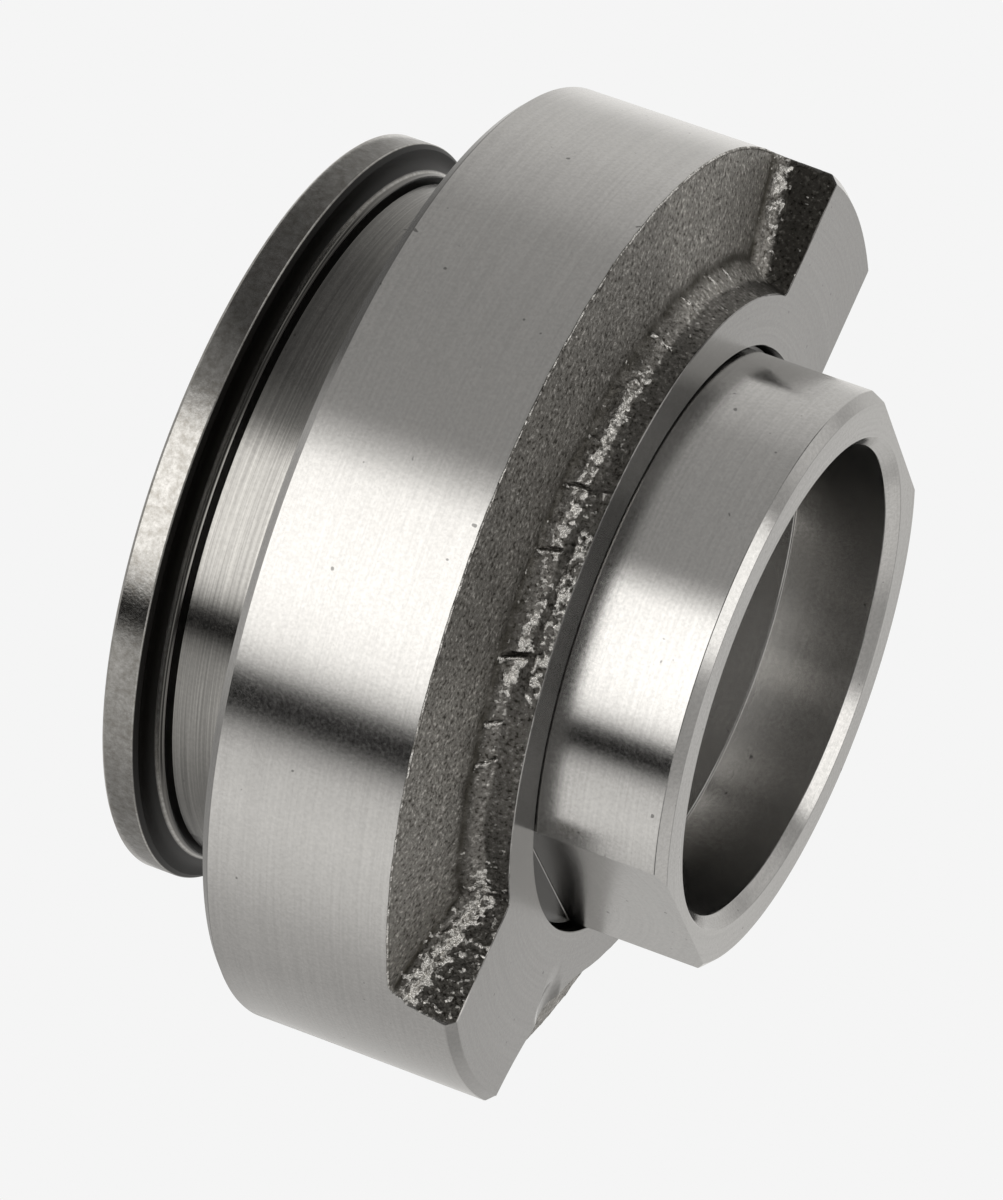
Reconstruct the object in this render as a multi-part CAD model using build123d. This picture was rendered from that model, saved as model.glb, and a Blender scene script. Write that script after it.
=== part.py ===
"""A self-centring clutch release bearing, in millimetres, +Z up.

The origin is the centre of the thrust face, which the clutch's release levers press on. The
bearing stands on that face, the guide sleeve points up, and the two fork pads lie along X.
"""

import os
from math import cos, hypot, radians, sin, tan, tau

from build123d import *

os.makedirs("parts", exist_ok=True)

# Guide sleeve: slides on the gearbox's guide tube, and two flats take the release fork.
guide_bore_d = 50.0
sleeve_wall = 5.8
sleeve_length = 47.7
sleeve_stand_out = 13.9  # from the carrier's front face to the sleeve's end
flat_cut = 3.4  # how deep each flat is milled into the tube
flats_sunk = 1.5  # how far inside the carrier's bore the flats start
sleeve_end_chamfer = 1.0
bore_mouth_chamfer = 1.2
oil_line_from_end = 11.1
oil_line_width = 0.4
oil_line_depth = 0.12
sleeve_float = 0.45  # radial, all round, in the carrier's bore
flange_overhang = 9.1
flange_thickness = 2.2

# Carrier: a forged steel body, turned on its outside and rough where the tool doesn't reach.
carrier_wall = 4.5  # round the ball race
carrier_roof = 8.3  # from the flange's cavity to the front face
carrier_bottom_chamfer = 1.0
mouth_chamfer = 0.5
shoulder_depth = 6.8  # from the front face down to the shoulder's rim
shoulder_slope = 11.0  # degrees, rising towards the boss
boss_wall = 5.35  # round the sleeve
pad_width = 22.4
pad_rim_chamfer = 0.9
boss_corner_r = 1.2
web_corner_r = 25.0  # the fuller corner beside one pad
upper_wall_height = 2.1
upper_wall_draft = 16.0
lower_wall_draft = 38.0
valley_r = 1.2
dimple_r = 12.0  # a scoop that the forging left in the front face, on the fuller corner's edge
dimple_depth = 0.45
dimple_share = 0.58  # how far along that corner, from the pad
cavity_gap = 1.1  # radial, round the sleeve's flange

# Rotating ring and thrust ring.
ring_bore_gap = 1.2  # radial, round the sleeve
neck_wall = 4.15
neck_length = 10.0  # the part that shows, between thrust ring and carrier
neck_groove = 0.6
ring_end_chamfer = 0.4
spigot_wall = 2.6
spigot_step = 1.6
thrust_height = 5.6
thrust_rim = 3.4
thrust_overhang = 3.45  # how far the thrust ring's rim stands out from the neck
thrust_chamfer = 0.5
thrust_foot_chamfer = 0.3
cove_foot = 0.5  # how far the cove's foot stands out from the neck
cove_sag = 0.4  # how much hollower than a straight cone the cove is

# Ball race.
ball_d = 7.938
ball_count = 16
ball_play = 0.02
track_depth = 1.5
track_opening = 1.04  # the track's radius over the ball's
outer_ring_wall = 4.39
race_width = 12.0
cage_wall = 2.6
cage_rim = 0.8
prong_reach = 2.0  # below the balls' centres
pocket_play = 0.2

# Seal, snap ring, spring plate and wave spring.
mouth_lip = 1.1
snap_ring_t = 1.4
snap_groove_depth = 1.5
snap_ring_wall = 2.9
snap_gap_deg = 14.0
snap_lug_r = 1.9
snap_hole_d = 1.6
seal_recess_depth = 1.6
seal_recess_wall = 1.1
seal_case_t = 0.7
seal_lip_play = 0.05
spring_plate_t = 1.0
plate_gap = 0.5  # axial, over the rotating ring
plate_bore_gap = 1.2
wave_t = 0.5
wave_space = 1.6
wave_count = 4
wave_play = 0.02

# Radii that follow, from the guide tube outwards.
sleeve_r = guide_bore_d / 2 + sleeve_wall
flats_across = 2 * (sleeve_r - flat_cut)
carrier_bore_r = sleeve_r + sleeve_float
boss_r = carrier_bore_r + boss_wall
flange_r = sleeve_r + flange_overhang
cavity_r = flange_r + cavity_gap
ring_bore_r = sleeve_r + ring_bore_gap
spigot_r = ring_bore_r + spigot_wall
neck_r = ring_bore_r + neck_wall
thrust_r = neck_r + thrust_overhang
ball_r = ball_d / 2
track_r = ball_r * track_opening
pitch_r = neck_r - track_depth + ball_r + ball_play / 2
outer_shoulder_r = pitch_r + ball_r - track_depth + ball_play / 2
recess_r = outer_shoulder_r + seal_recess_wall
seat_r = outer_shoulder_r + outer_ring_wall
carrier_r = seat_r + carrier_wall

# Heights that follow, from the thrust face upwards.
neck_z = thrust_height + neck_groove
carrier_bottom_z = neck_z + neck_length
snap_z = carrier_bottom_z + mouth_lip
race_z = snap_z + snap_ring_t
race_top_z = race_z + race_width
ball_z = (race_z + race_top_z) / 2
plate_top_z = race_top_z + spring_plate_t
ring_top_z = race_top_z - plate_gap
flange_z = plate_top_z + wave_space
cavity_top_z = flange_z + flange_thickness
face_z = cavity_top_z + carrier_roof
flats_start_z = face_z - flats_sunk
sleeve_top_z = face_z + sleeve_stand_out
sleeve_bottom_z = sleeve_top_z - sleeve_length


def ring(inner, outer, bottom, top):
    """A plain ring between two radii and two heights."""
    return Pos(0, 0, bottom) * extrude(Circle(outer) - Circle(inner), top - bottom)


def disc(radius, bottom, top):
    """A plain round slug between two heights."""
    return Pos(0, 0, bottom) * extrude(Circle(radius), top - bottom)


def turned(*corners):
    """A solid of revolution about Z from its (radius, height) corners."""
    return revolve(Plane.XZ * make_face(Polyline(*corners, close=True)), Axis.Z)


def chamfered(inner, outer, bottom, top, inner_low=0, inner_high=0, outer_low=0, outer_high=0):
    """A ring whose four edges may be bevelled at 45 degrees."""
    corners = []
    for radius, sign, low, high in ((inner, 1, inner_low, inner_high), (outer, -1, outer_low, outer_high)):
        side = []
        side += [(radius + sign * low, bottom), (radius, bottom + low)] if low else [(radius, bottom)]
        side += [(radius, top - high), (radius + sign * high, top)] if high else [(radius, top)]
        corners += side if sign > 0 else side[::-1]
    return turned(*corners)


def boss_outline(grow):
    """The front face's outline: a disc round the bore and two parallel-sided pads."""
    shape = Circle(boss_r + grow) + Rectangle(2.4 * carrier_r, pad_width + 2 * grow)
    corners = [v for v in shape.vertices() if abs(v.X) < boss_r + grow]
    web = max(corners, key=lambda v: v.X + v.Y)
    shape = fillet([v for v in corners if v is not web], boss_corner_r)
    web = min(shape.vertices(), key=lambda v: (Vector(v) - Vector(web)).length)
    return fillet(web, web_corner_r)


def carrier():
    """The body: turned cylinder, forged shoulder, boss with two fork pads, and stepped bore."""
    rim_z = face_z - shoulder_depth
    step_z = face_z - upper_wall_height
    blank_r = 1.25 * carrier_r
    rise = (carrier_r - boss_r) * tan(radians(shoulder_slope))
    fall = (blank_r - carrier_r) * tan(radians(shoulder_slope))
    spread = upper_wall_height * tan(radians(upper_wall_draft))
    body = turned((0, carrier_bottom_z), (blank_r, carrier_bottom_z), (blank_r, rim_z - fall),
                  (boss_r, rim_z + rise), (0, rim_z + rise))
    body += extrude(Pos(0, 0, step_z) * boss_outline(spread), -(step_z - rim_z) - fall, taper=-lower_wall_draft)

    def in_valley(edge):
        """Whether a curved edge lies all along the sloping shoulder."""
        return edge.geom_type == GeomType.BSPLINE and all(
            abs(v.Z - rim_z - (carrier_r - hypot(v.X, v.Y)) * tan(radians(shoulder_slope))) < 0.01
            for v in edge.vertices())

    body = fillet(body.edges().filter_by(in_valley), valley_r)
    body += extrude(Pos(0, 0, face_z) * boss_outline(0), -upper_wall_height, taper=-upper_wall_draft)
    body &= turned((0, carrier_bottom_z), (carrier_r - carrier_bottom_chamfer, carrier_bottom_z),
                   (carrier_r, carrier_bottom_z + carrier_bottom_chamfer), (carrier_r, face_z - pad_rim_chamfer),
                   (carrier_r - pad_rim_chamfer, face_z), (0, face_z))
    web = max(boss_outline(0).edges().filter_by(GeomType.CIRCLE), key=lambda e: (e @ 0.5).X + (e @ 0.5).Y)
    dimple = web @ dimple_share
    body -= Pos(dimple.X, dimple.Y, face_z + dimple_r - dimple_depth) * Sphere(dimple_r)
    body -= disc(carrier_bore_r, carrier_bottom_z, face_z)
    body -= disc(cavity_r, carrier_bottom_z, cavity_top_z)
    body -= disc(seat_r, carrier_bottom_z, plate_top_z)
    body -= disc(seat_r + snap_groove_depth, snap_z, race_z)
    body -= turned((0, carrier_bottom_z), (seat_r + mouth_chamfer, carrier_bottom_z),
                   (seat_r, carrier_bottom_z + mouth_chamfer), (0, carrier_bottom_z + mouth_chamfer))
    return body


def guide_sleeve():
    """The flanged tube that rides on the gearbox's guide, with two flats for the fork."""
    bore_r = guide_bore_d / 2
    tube = chamfered(bore_r, sleeve_r, sleeve_bottom_z, sleeve_top_z, bore_mouth_chamfer,
                     bore_mouth_chamfer, sleeve_end_chamfer, sleeve_end_chamfer)
    tube += ring(bore_r, flange_r, flange_z, cavity_top_z)
    line_z = sleeve_top_z - oil_line_from_end
    tube -= disc(bore_r + oil_line_depth, line_z, line_z + oil_line_width)
    outside = Rectangle(4 * sleeve_r, 4 * sleeve_r) - Rectangle(flats_across, 4 * sleeve_r)
    return tube - Pos(0, 0, flats_start_z) * extrude(outside, 2 * sleeve_stand_out)


def thrust_ring():
    """The hardened ring that the release levers press on, with a cove behind its rim."""
    cove_start = (thrust_r - thrust_chamfer, thrust_rim + thrust_chamfer)
    cove_end = (neck_r + cove_foot, thrust_height)
    outline = Polyline(cove_end, (spigot_r, thrust_height), (spigot_r, spigot_step),
                       (ring_bore_r, spigot_step), (ring_bore_r, thrust_foot_chamfer),
                       (ring_bore_r + thrust_foot_chamfer, 0), (thrust_r - thrust_foot_chamfer, 0),
                       (thrust_r, thrust_foot_chamfer), (thrust_r, thrust_rim), cove_start)
    cove = SagittaArc(cove_start, cove_end, cove_sag)
    return revolve(Plane.XZ * make_face([*outline.edges(), cove]), Axis.Z)


def inner_ring():
    """The rotating ring: spigot, long neck and ball track."""
    body = chamfered(ring_bore_r, neck_r, neck_z, ring_top_z, inner_high=ring_end_chamfer,
                     outer_high=ring_end_chamfer)
    body += ring(ring_bore_r, spigot_r, spigot_step, neck_z)
    shift = track_r - ball_r - ball_play / 2
    return body - Pos(0, 0, ball_z) * Torus(pitch_r + shift, track_r)


def outer_ring():
    """The fixed ring, pressed into the carrier, with a track and a recess for the seal."""
    body = chamfered(outer_shoulder_r, seat_r, race_z, race_top_z, outer_low=ring_end_chamfer,
                     outer_high=ring_end_chamfer)
    body -= disc(recess_r, race_z, race_z + seal_recess_depth)
    shift = track_r - ball_r - ball_play / 2
    return body - Pos(0, 0, ball_z) * Torus(pitch_r - shift, track_r)


def ball(number):
    """One ball in its place on the pitch circle."""
    turn = tau * number / ball_count
    return Pos(pitch_r * cos(turn), pitch_r * sin(turn), ball_z) * Sphere(ball_r)


def cage():
    """A crown cage: a rim above the balls and a prong between each two, open below."""
    body = ring(pitch_r - cage_wall / 2, pitch_r + cage_wall / 2, ball_z - prong_reach,
                ball_z + ball_r + pocket_play + cage_rim)
    for number in range(ball_count):
        turn = 360 * number / ball_count
        pocket = Rot(0, 0, turn) * Pos(pitch_r, 0, ball_z) * Rot(0, 90, 0) * Cylinder(
            ball_r + pocket_play, 2 * cage_wall)
        body -= pocket
    return body


def seal_case():
    """The thin steel ring that holds the seal in the outer ring's recess."""
    top = race_z + seal_recess_depth
    return ring(neck_r + seal_case_t, recess_r, top - seal_case_t, top)


def seal_lip():
    """The rubber lip under the case, which runs close to the neck."""
    top = race_z + seal_recess_depth - seal_case_t
    low = race_z
    root = neck_r + 2 * seal_case_t
    tip = neck_r + seal_lip_play
    return turned((recess_r, top), (tip + seal_case_t, top), (tip, low + 0.3 * (top - low)), (tip, low),
                  (root, 0.5 * (low + top)), (recess_r, 0.5 * (low + top)))


def snap_ring():
    """The sprung ring in the carrier's groove, open at one side, with a pierced lug at each end."""
    outer = seat_r + snap_groove_depth
    inner = outer - snap_ring_wall
    lug_at = inner + snap_lug_r / 2
    half_gap = radians(snap_gap_deg / 2)
    reach = snap_lug_r / lug_at
    shape = Circle(outer) - Circle(inner)
    for side in (-1, 1):
        turn = side * (half_gap + reach)
        shape += Pos(lug_at * cos(turn), lug_at * sin(turn)) * Circle(snap_lug_r)
    wedge = Polyline((0, 0), (2 * outer, -2 * outer * half_gap), (2 * outer, 2 * outer * half_gap), close=True)
    shape -= make_face(wedge)
    for side in (-1, 1):
        turn = side * (half_gap + reach)
        shape -= Pos(lug_at * cos(turn), lug_at * sin(turn)) * Circle(snap_hole_d / 2)
    return Pos(0, 0, snap_z) * extrude(shape, snap_ring_t)


def spring_plate():
    """The flat ring between race and carrier that the wave spring stands on."""
    return ring(sleeve_r + plate_bore_gap, seat_r, race_top_z, plate_top_z)


def wave_spring():
    """A flat spring ring bent into even waves between the plate and the sleeve's flange."""
    swing = (wave_space - wave_t) / 2 - wave_play
    middle = plate_top_z + wave_space / 2
    inner = sleeve_r + plate_bore_gap + cavity_gap
    outer = flange_r
    steps = 8 * wave_count

    def crest_line(radius, lift):
        turns = [tau * step / steps for step in range(steps)]
        points = [(radius * cos(t), radius * sin(t), middle + lift + swing * cos(wave_count * t)) for t in turns]
        return Edge.make_spline([Vector(*p) for p in points], periodic=True)

    low_in, low_out = crest_line(inner, -wave_t / 2), crest_line(outer, -wave_t / 2)
    top_in, top_out = crest_line(inner, wave_t / 2), crest_line(outer, wave_t / 2)
    pairs = ((low_in, low_out), (top_in, top_out), (low_in, top_in), (low_out, top_out))
    return Solid(Shell([Face.make_surface_from_curves(a, b) for a, b in pairs]))


pieces = {
    "carrier": carrier(),
    "guide_sleeve": guide_sleeve(),
    "thrust_ring": thrust_ring(),
    "inner_ring": inner_ring(),
    "outer_ring": outer_ring(),
    "ball_cage": cage(),
    "seal_case": seal_case(),
    "seal_lip": seal_lip(),
    "snap_ring": snap_ring(),
    "spring_plate": spring_plate(),
    "wave_spring": wave_spring(),
}
pieces |= {f"ball_{number + 1:02d}": ball(number) for number in range(ball_count)}
for name, piece in pieces.items():
    export_step(piece, f"parts/{name}.step")
    print(name, round(piece.volume, 1))
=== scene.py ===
# %% [markdown]
# # A clutch release bearing
# The bearing slides on the gearbox's guide tube. A fork pushes its two pads, and its dark thrust ring
# presses the clutch's levers while the ring spins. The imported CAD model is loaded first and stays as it
# is. Each piece made below stands where a CAD node stands, and takes its outermost sizes from that
# node's box.

import bpy
import numpy as np
from mathutils import Matrix, Vector


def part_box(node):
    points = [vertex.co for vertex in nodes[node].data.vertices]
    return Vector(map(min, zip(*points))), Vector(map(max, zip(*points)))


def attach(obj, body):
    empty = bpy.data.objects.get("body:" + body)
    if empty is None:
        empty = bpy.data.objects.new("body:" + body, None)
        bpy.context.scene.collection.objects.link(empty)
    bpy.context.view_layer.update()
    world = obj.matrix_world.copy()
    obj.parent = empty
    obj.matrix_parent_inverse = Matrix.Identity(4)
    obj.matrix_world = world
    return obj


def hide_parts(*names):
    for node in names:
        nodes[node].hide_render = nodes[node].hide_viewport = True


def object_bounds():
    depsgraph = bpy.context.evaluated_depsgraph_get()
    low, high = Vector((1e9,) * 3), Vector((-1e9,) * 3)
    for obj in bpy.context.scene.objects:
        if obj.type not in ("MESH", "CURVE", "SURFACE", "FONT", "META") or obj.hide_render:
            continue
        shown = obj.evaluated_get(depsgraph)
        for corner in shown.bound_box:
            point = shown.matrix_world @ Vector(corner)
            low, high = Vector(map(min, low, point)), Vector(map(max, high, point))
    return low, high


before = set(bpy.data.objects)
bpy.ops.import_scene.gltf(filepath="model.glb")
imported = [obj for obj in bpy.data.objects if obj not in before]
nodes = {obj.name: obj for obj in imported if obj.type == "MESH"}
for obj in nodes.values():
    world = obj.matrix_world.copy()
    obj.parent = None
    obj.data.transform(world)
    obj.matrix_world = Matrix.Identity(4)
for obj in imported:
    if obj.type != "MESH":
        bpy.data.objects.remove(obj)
cad_box = [list(corner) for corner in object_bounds()]
MM = 0.001  # every size below is in millimetres, and meshes are written in metres


def tell(words, *values):
    """Prints words and the numbers that belong to them."""
    print(words, *(round(float(value), 3) for value in values))


def placed(name, data):
    """A new object in the scene that shows the data."""
    made = bpy.data.objects.new(name, data)
    bpy.context.scene.collection.objects.link(made)
    return made


tell("CAD box in mm:", *(number / MM for corner in cad_box for number in corner))

# %% [markdown]
# ## The camera
# The photograph was taken from far off with a long lens, and the camera was rolled, so that the bearing
# lies on its side in the picture. A roll of the camera does that without moving the object.

# %% camera
camera_place = Vector((0.246645, -0.825994, 0.294440))
view_azimuth, view_elevation, view_roll = 16.5, 17.31, 109.64
focal_share, sensor = 7.4125, 24  # focal length over the frame's height, and that height in mm

camera = placed("camera", bpy.data.cameras.new("camera"))
turn, tilt, roll = np.radians((view_azimuth, 90 - view_elevation, view_roll))
aim = Matrix.Rotation(turn, 4, "Z") @ Matrix.Rotation(tilt, 4, "X") @ Matrix.Rotation(roll, 4, "Z")
camera.matrix_world = Matrix.Translation(camera_place) @ aim
camera.data.sensor_fit = "VERTICAL"
camera.data.sensor_height = sensor
camera.data.lens = sensor * focal_share
camera.data.clip_start, camera.data.clip_end = 0.01, 20
bpy.context.scene.camera = camera
tell("lens in mm:", camera.data.lens)

# %% [markdown]
# ## Networks of nodes
# The room and every material are networks of nodes. With these helpers a network reads like a sum: each
# adds a node, feeds it values or the outputs of other nodes, and gives back its own output.

# %% one node
def feed(tree, socket, value):
    """Links an input to another node's output, or else sets it. A colour is (red, green, blue)."""
    if isinstance(value, bpy.types.NodeSocket):
        tree.links.new(value, socket)
    elif isinstance(value, tuple):
        socket.default_value = (*value, 1)[:len(socket.default_value)]
    else:
        socket.default_value = value


def node(tree, kind, *values, **settings):
    """Adds a node. Values feed its inputs in order. A setting with a leading capital feeds the input of
    that name, and any other sets a property."""
    made = tree.nodes.new(kind)
    for socket, value in zip(made.inputs, values):
        feed(tree, socket, value)
    for name, value in settings.items():
        if name[0].isupper():
            feed(tree, made.inputs[name.replace("_", " ")], value)
        else:
            setattr(made, name, value)
    return made


def out(tree, kind, output, *values, **settings):
    """Adds a node and gives back one of its outputs."""
    return node(tree, kind, *values, **settings).outputs[output]


# %% numbers and colours
def calculate(tree, operation, *values):
    """The result of one operation on plain values."""
    return out(tree, "ShaderNodeMath", 0, *values, operation=operation)


def mixed(tree, share, first, second, blend_type="MIX"):
    """Mixes two colours by a share."""
    mix = node(tree, "ShaderNodeMix", share, data_type="RGBA", blend_type=blend_type)
    feed(tree, mix.inputs[6], first)
    feed(tree, mix.inputs[7], second)
    return mix.outputs[2]


def ramp(tree, source, stops):
    """Reads a colour off a ramp at the source's value. Each stop is a place and a grey or a colour."""
    made = node(tree, "ShaderNodeValToRGB", source)
    for index, (place, value) in enumerate(stops):
        points = made.color_ramp.elements
        point = points[index] if index < 2 else points.new(place)
        point.position = place
        point.color = (*value, 1) if isinstance(value, tuple) else (value, value, value, 1)
    return made.outputs["Color"]


def steps(tree, source, *edges):
    """A product of smooth steps of one value, each from 0 at the first number of a pair to 1 at the
    second."""
    product = None
    for start, end in edges:
        step = out(tree, "ShaderNodeMapRange", "Result", source, min(start, end), max(start, end),
                   float(start > end), float(start < end), interpolation_type="SMOOTHSTEP")
        product = step if product is None else calculate(tree, "MULTIPLY", product, step)
    return product


# %% [markdown]
# ## Light
# Bright steel is a mirror of its room, so the room is painted round the horizon as one strip: a wide
# white panel in front, a thin black gap beside it, and greyer walls elsewhere. A turned cylinder spreads
# this strip along its axis. Above the horizon the room is dark in front and light behind, with a soft
# box overhead. Lamps and cards would do too, but a painted panel's edge can be as soft as the steel
# shows it.

# %% the room as a strip of panels
panels = (  # direction in degrees, anticlockwise from +X, and brightness, below the horizon
    (0, 0.92), (15, 0.80), (33, 0.56), (50, 0.47), (69, 0.52), (90, 0.60), (111, 0.92), (129, 0.90),
    (145, 0.70), (165, 0.70), (189, 0.54), (200, 0.41), (225, 0.37), (262, 0.37), (268, 0.80), (276, 1.75),
    (290, 1.90), (304, 1.90), (316, 1.65), (323, 0.95), (327.5, 0.08), (331, 0.00), (335.5, 0.00),
    (340, 0.45), (346, 0.82))
arch = (  # direction in degrees, from the horizon in front, over the top and down behind, and brightness
    (0, 0.07), (35, 0.08), (47, 0.40), (59, 0.50), (90, 0.36), (98, 0.32), (112, 0.42), (141, 0.42),
    (155, 0.55), (163, 0.64), (180, 0.62))
ground, soft_box, side_box, low_front = 0.50, 1.60, 0.72, 0.11
warm_white = (1.0, 0.985, 0.96)
brightest = 4.0  # the world's strength: a ramp holds values up to 1, so each brightness is divided by this

# Each pair is a smooth step from 0 at its first number to 1 at its second, over a part of the direction.
ground_edge, horizon = (-0.50, -0.75), (-0.05, 0.08)
box_over, box_across = ((0.335, 0.37), (0.52, 0.49)), ((-0.60, -0.50), (0.14, -0.06))
dark_below, dark_ahead = (0.46, 0.32), (-0.45, -0.15)
sides, sides_above = ((0.46, 0.60), (-0.62, -0.70)), (0.38, 0.52)
print("panels", len(panels), "and stops over the top", len(arch))


# %% helpers for a direction
def turn_share(tree, rise, run, whole):
    """The angle of (run, rise) as a share of the whole, from 0 to 1."""
    share = calculate(tree, "DIVIDE", calculate(tree, "ARCTAN2", rise, run), whole)
    return calculate(tree, "FRACT", share)


def along(tree, source, direction):
    """How far the source vector reaches along a direction."""
    return out(tree, "ShaderNodeVectorMath", "Value", source, direction, operation="DOT_PRODUCT")


def round_stops(stops, share=1.0):
    """Stops given in degrees round the compass, as shares of the turn, closed by the first one again."""
    return [(degrees / 360, value * share) for degrees, value in stops] + [(1.0, stops[0][1] * share)]


def grey(brightness):
    """A brightness as a colour of the world."""
    return (brightness / brightest,) * 3


# %% paint the room on the world
world = bpy.data.worlds.new("studio")
bpy.context.scene.world = world
world.use_nodes = True
tree = world.node_tree
tree.nodes.clear()
direction = out(tree, "ShaderNodeTexCoord", "Generated")
east, north, height = node(tree, "ShaderNodeSeparateXYZ", direction).outputs
front = np.radians(270 + view_azimuth)
forward = along(tree, direction, (np.cos(front), np.sin(front), 0))
sideways = along(tree, direction, (-np.sin(front), np.cos(front), 0))
over = turn_share(tree, height, forward, np.pi)
low_part = ramp(tree, turn_share(tree, north, east, 2 * np.pi), round_stops(panels, 1 / brightest))
low_part = mixed(tree, steps(tree, height, ground_edge), low_part, grey(ground))
high_part = ramp(tree, over, [(degrees / 180, value / brightest) for degrees, value in arch])
dark = calculate(tree, "MULTIPLY", steps(tree, height, dark_below), steps(tree, forward, dark_ahead))
high_part = mixed(tree, dark, high_part, grey(low_front))
for beyond in sides:
    side = calculate(tree, "MULTIPLY", steps(tree, sideways, beyond), steps(tree, height, sides_above))
    high_part = mixed(tree, side, high_part, grey(side_box))
box = calculate(tree, "MULTIPLY", steps(tree, over, *box_over), steps(tree, sideways, *box_across))
high_part = mixed(tree, box, high_part, grey(soft_box))
room = mixed(tree, steps(tree, height, horizon), low_part, high_part)
room = mixed(tree, 1.0, room, warm_white, "MULTIPLY")
glow = out(tree, "ShaderNodeBackground", 0, Color=room, Strength=brightest)
node(tree, "ShaderNodeOutputWorld", glow)
bpy.context.scene.view_settings.view_transform = "Standard"
print("nodes in the room", len(tree.nodes))

# %% [markdown]
# ## The floor
# The floor is a pale sheet that only the camera sees, so the strip also reaches the steel from below. It
# glows evenly, because the photograph's ground has one flat tone.


# %% the pale floor
def new_material(name):
    """An empty material and its node tree."""
    made = bpy.data.materials.new(name)
    made.use_nodes = True
    made.node_tree.nodes.clear()
    return made, made.node_tree


def surface(tree, shader):
    """Shows a shader on the material's surface."""
    node(tree, "ShaderNodeOutputMaterial", shader)


floor_tone, floor_size = 0.913, 6.0
half = floor_size / 2
floor_corners = [(-half, -half, 0), (half, -half, 0), (half, half, 0), (-half, half, 0)]
floor_mesh = bpy.data.meshes.new("floor")
floor_mesh.from_pydata(floor_corners, [], [(0, 1, 2, 3)])
floor = placed("floor", floor_mesh)
paper, tree = new_material("pale_paper")
surface(tree, out(tree, "ShaderNodeEmission", 0, (floor_tone,) * 3))
floor_mesh.materials.append(paper)
floor.visible_diffuse = floor.visible_glossy = floor.visible_shadow = False
print("floor", floor_size, "m wide")

# %% [markdown]
# ## A sheet of painted shade round the foot
# The thrust ring and the neck stood low over the table, so they mirror the part of it that lay in the
# bearing's own shade. A clear sheet round the foot paints that shade: it dims what they mirror, and
# leaves the higher faces alone. The camera doesn't see it.

# %% the sheet of painted shade
painted_table_shade = (  # direction in degrees, and the share of light that the painted shade lets pass
    (0, 0.62), (60, 0.62), (110, 0.90), (150, 0.90), (190, 0.72), (212, 0.42), (232, 0.27), (260, 0.24),
    (275, 1.00), (310, 1.00), (326, 0.62))
sheet_inner, sheet_outer, sheet_z, sheet_count = 40.5, 92.0, -0.2, 96
fading_out = (0.062, 0.090)  # distance from the origin in metres
around = np.linspace(0, 2 * np.pi, sheet_count, endpoint=False)
rings = [np.column_stack((r * np.cos(around), r * np.sin(around), np.full(sheet_count, sheet_z)))
         for r in (sheet_inner, sheet_outer)]
index = np.arange(sheet_count)
following = (index + 1) % sheet_count
quads = np.column_stack((index, following, following + sheet_count, index + sheet_count))
sheet_mesh = bpy.data.meshes.new("painted_shade_sheet")
sheet_mesh.from_pydata(np.concatenate(rings) * MM, [], quads.tolist())
painted_shade = placed("painted_shade_sheet", sheet_mesh)
shade_filter, tree = new_material("painted_table_shade")
place = out(tree, "ShaderNodeTexCoord", "Object")
east, north, _ = node(tree, "ShaderNodeSeparateXYZ", place).outputs
reach = out(tree, "ShaderNodeVectorMath", "Value", place, operation="LENGTH")
passing = ramp(tree, turn_share(tree, north, east, 2 * np.pi), round_stops(painted_table_shade))
passing = mixed(tree, steps(tree, reach, fading_out), passing, (1.0, 1.0, 1.0))
surface(tree, out(tree, "ShaderNodeBsdfTransparent", 0, passing))
sheet_mesh.materials.append(shade_filter)
painted_shade.visible_camera = painted_shade.visible_diffuse = painted_shade.visible_shadow = False
print("smoked sheet from", sheet_inner, "to", sheet_outer, "mm")

# %% [markdown]
# ## Closed skins from arrays
# Every new piece is one grid of points that runs round the axis and round the section, so it closes on
# itself both ways and has no pole or seam. Real machined edges aren't knife-sharp, so each corner of a
# section is broken by a narrow flat that catches a thin line of light. Modifiers could do both, but they
# give no hold on where the grid's lines run.

# %% columns and rows
def turns(count, *zones):
    """Angles round the axis, closer together near each (centre, half width, how many times closer), in
    degrees. The spacing is the inverse of a density, 1 plus a bell for each zone, so its running sum is
    read backwards."""
    fine = np.linspace(0, 360, 14400, endpoint=False)
    density = np.ones_like(fine)
    for centre, width, closer in zones:
        apart = (fine - centre + 180) % 360 - 180
        density += (closer - 1) * np.exp(-((apart / width) ** 4))
    total = np.concatenate(([0], np.cumsum(density)))
    shares = np.linspace(0, total[-1], count, endpoint=False)
    return np.radians(np.interp(shares, total, np.append(fine, 360)))


def pushed(columns, lines, reach, wander=0.0):
    """The angle of every column on every row. Near each line, which is an angle per row, the columns are
    pushed sideways until the nearest lies on it. The push fades with the distance x from it as the
    square of 1-x*x."""
    angles = np.tile(columns, (len(lines[0]), 1))
    for line in lines:
        apart = (columns - line[0] + np.pi) % (2 * np.pi) - np.pi
        nearest = np.abs(apart).argmin()
        bell = np.maximum(1 - ((apart - apart[nearest]) / reach) ** 2, 0) ** 2
        angles += ((line + wander - columns[nearest] + np.pi) % (2 * np.pi) - np.pi)[:, None] * bell
    return angles


def broken(corners, edge, closed=True):
    """Breaks each corner of a section: two points, each that far from the corner along one of its
    sides."""
    corners = np.asarray(corners, float)
    back = np.roll(corners, 1, axis=0) - corners
    ahead = np.roll(corners, -1, axis=0) - corners
    back /= np.linalg.norm(back, axis=1, keepdims=True)
    ahead /= np.linalg.norm(ahead, axis=1, keepdims=True)
    rows = np.stack((corners + edge * back, corners + edge * ahead), axis=1).reshape(-1, 2)
    return rows if closed else rows[1:-1]


def spun(radius, height, angles):
    """Points turned round the axis, (r cos a, r sin a, z), for radii, heights and angles of matching
    shapes."""
    radius, height, angles = np.broadcast_arrays(radius, height, angles)
    return np.stack((radius * np.cos(angles), radius * np.sin(angles), height), axis=-1)


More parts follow.
